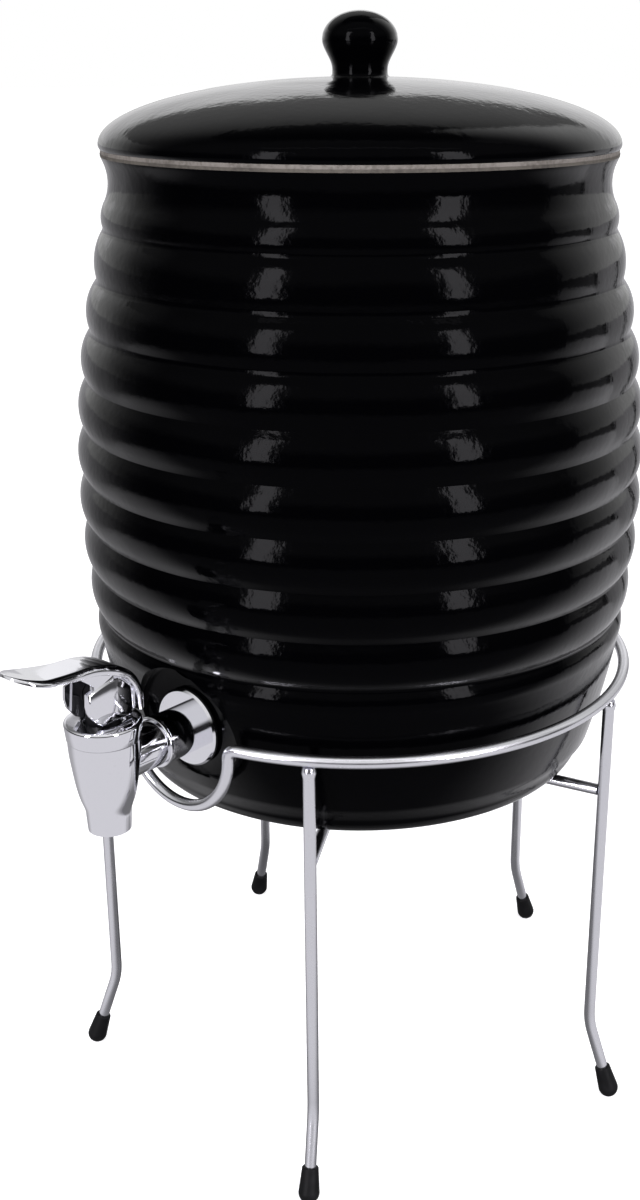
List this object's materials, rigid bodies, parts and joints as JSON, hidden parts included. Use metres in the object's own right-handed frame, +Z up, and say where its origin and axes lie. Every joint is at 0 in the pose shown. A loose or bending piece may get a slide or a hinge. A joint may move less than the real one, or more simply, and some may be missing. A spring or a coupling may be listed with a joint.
{
  "type": "beverage dispenser",
  "caption": "Ribbed glazed ceramic beverage dispenser with a domed lid and a lever tap, carried in a bent wire stand with rubber foot caps. Lid and crock lift off.",
  "frame": {"origin": "centre of the bottom of the whole part's box at rest, on the floor under the feet", "axes": "+Z up along the crock's axis, -Y towards the tap, +X to the right seen from the tap"},
  "size_m": [0.2552, 0.3304, 0.4712],
  "materials": {
    "black_glaze": "high gloss black glaze, bare cream clay at the rim and the lid's edge",
    "chrome": "bright polished plate",
    "cap_rubber": "matt black",
    "gasket_rubber": "matt black",
    "seat_rubber": "matt milky silicone",
    "nut_plastic": "matt moulded",
    "stem_plastic": "satin moulded",
    "steel": "drawn wire"
  },
  "bodies": {
    "stand": {"top_hoop": "chrome", "tap_loop": "chrome", "hub_ring": "chrome", "leg_1": "chrome", "leg_2": "chrome", "leg_3": "chrome", "leg_4": "chrome", "leg_5": "chrome", "spoke_1": "chrome", "spoke_2": "chrome", "spoke_3": "chrome", "spoke_4": "chrome", "spoke_5": "chrome", "foot_cap_1": "cap_rubber", "foot_cap_2": "cap_rubber", "foot_cap_3": "cap_rubber", "foot_cap_4": "cap_rubber", "foot_cap_5": "cap_rubber"},
    "crock": {"crock": "black_glaze", "tap_body": "chrome", "tap_shank": "chrome", "shank_spacer": "chrome", "tap_flange": "chrome", "outer_gasket": "gasket_rubber", "inner_gasket": "gasket_rubber", "tap_nut": "nut_plastic", "bonnet": "chrome"},
    "lid": {"lid": "black_glaze"},
    "stem": {"stem": "stem_plastic", "seat_cup": "seat_rubber", "stem_spring": "steel"},
    "lever": {"lever": "chrome", "lever_pin": "steel"}
  },
  "joints": [
    {"name": "crock_lift", "type": "slide", "parent": "stand", "child": "crock", "axis": [0, 0, 1], "range_m": [0, 0.12]},
    {"name": "lid_lift", "type": "slide", "parent": "crock", "child": "lid", "axis": [0, 0, 1], "range_m": [0, 0.08]},
    {"name": "stem_lift", "type": "slide", "parent": "crock", "child": "stem", "axis": [0, 0, 1], "range_m": [0, 0.0026], "stiffness_N_per_m": 500, "springref_m": -0.002, "deforming": ["stem_spring"]},
    {"name": "lever_tilt", "type": "hinge", "parent": "stem", "child": "lever", "pos_m": [-0.0042, -0.12176, 0.228], "axis": [1, 0, 0], "range_deg": [-1, 26]}
  ],
  "couplings": [
    {"joint": "lever_tilt", "follows": "stem_lift", "rad_per_m": 161}
  ]
}
